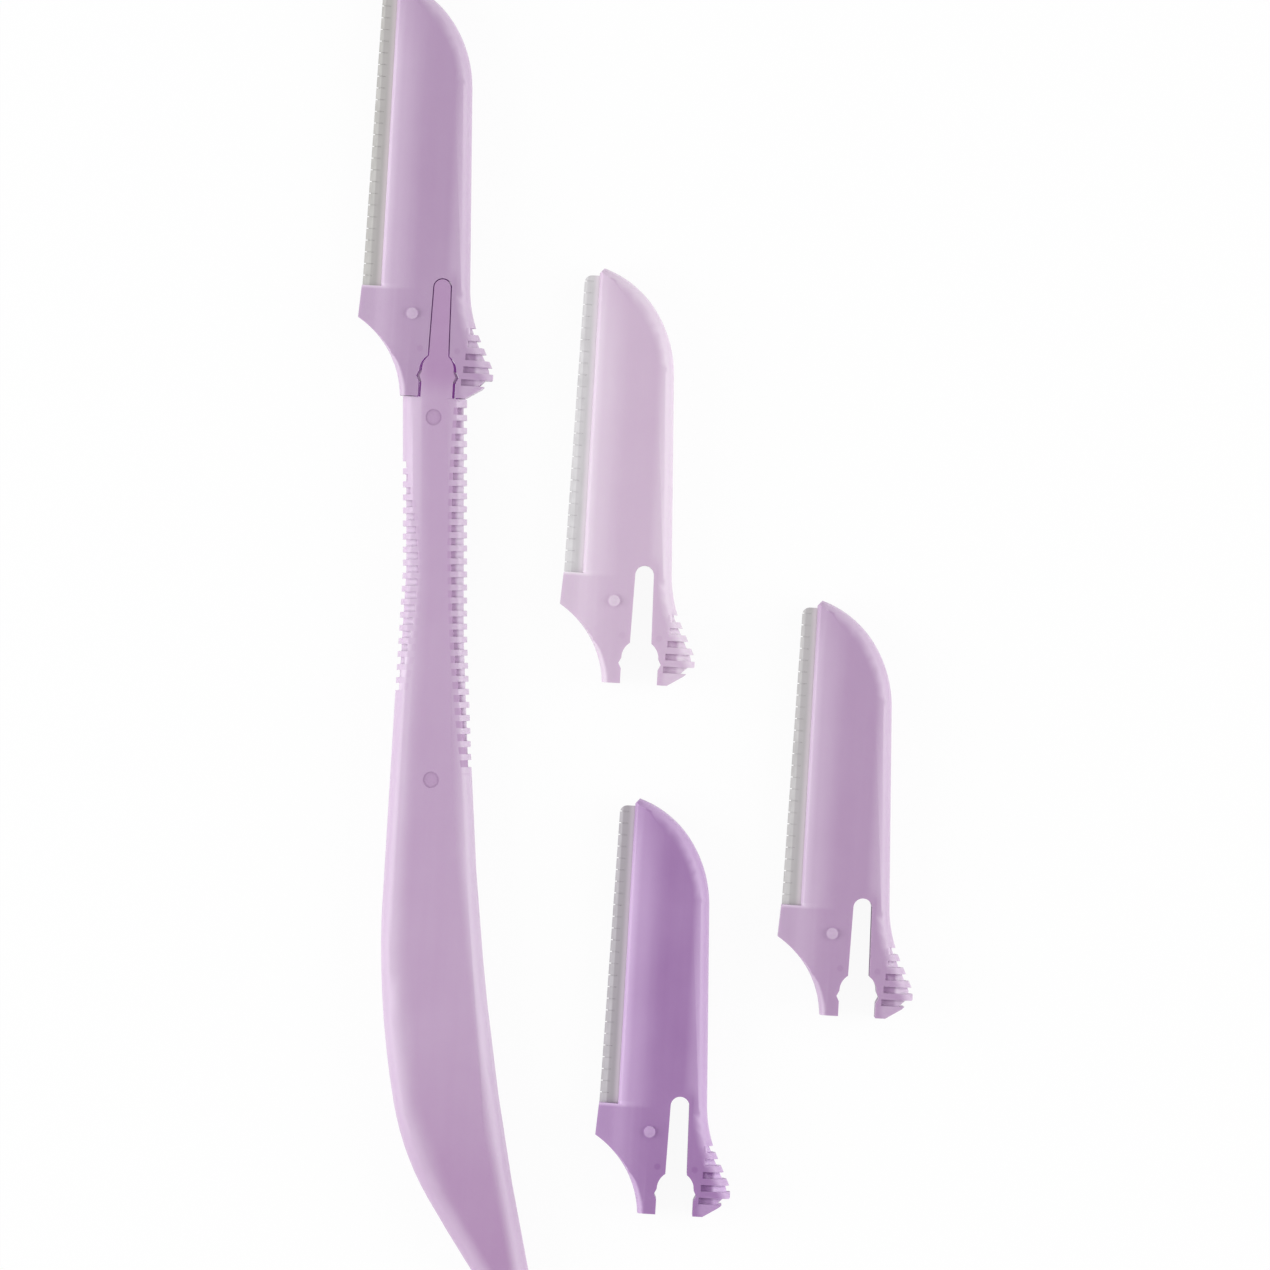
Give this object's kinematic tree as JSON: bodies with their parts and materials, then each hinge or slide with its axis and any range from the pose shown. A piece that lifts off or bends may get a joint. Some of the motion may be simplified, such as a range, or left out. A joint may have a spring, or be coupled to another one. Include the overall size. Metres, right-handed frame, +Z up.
{
  "type": "eyebrow razor",
  "caption": "Slim eyebrow razor: curved flat plastic handle with grooved grips and a clip-on head that holds a steel blade under a slit comb guard, with spare heads lying beside it.",
  "frame": {"origin": "on the underside, in the middle of the seat where the fitted head meets the handle", "axes": "+Y along the head from its seat to its tip, +Z up with the set lying flat, +X to the thumb tab"},
  "size_m": [0.0666, 0.1475, 0.0051],
  "materials": {
    "handle_lilac": "satin",
    "fitted_lilac": "satin",
    "pale_lilac": "satin",
    "mid_lilac": "satin",
    "violet": "satin",
    "blade_steel": "ground",
    "guard_steel": "satin"
  },
  "bodies": {
    "handle": {"handle": "handle_lilac"},
    "fitted_head": {"fitted_holder": "fitted_lilac", "fitted_blade": "blade_steel", "fitted_guard": "guard_steel"},
    "spare1_head": {"spare1_holder": "pale_lilac", "spare1_blade": "blade_steel", "spare1_guard": "guard_steel"},
    "spare2_head": {"spare2_holder": "mid_lilac", "spare2_blade": "blade_steel", "spare2_guard": "guard_steel"},
    "spare3_head": {"spare3_holder": "violet", "spare3_blade": "blade_steel", "spare3_guard": "guard_steel"}
  },
  "joints": [
    {"name": "head_slide", "type": "slide", "parent": "handle", "child": "fitted_head", "axis": [0, 1, 0], "range_m": [0, 0.016]},
    {"name": "spare1_lift", "type": "slide", "parent": "handle", "child": "spare1_head", "axis": [0, 0, 1], "range_m": [0, 0.03]},
    {"name": "spare2_lift", "type": "slide", "parent": "handle", "child": "spare2_head", "axis": [0, 0, 1], "range_m": [0, 0.03]},
    {"name": "spare3_lift", "type": "slide", "parent": "handle", "child": "spare3_head", "axis": [0, 0, 1], "range_m": [0, 0.03]}
  ]
}
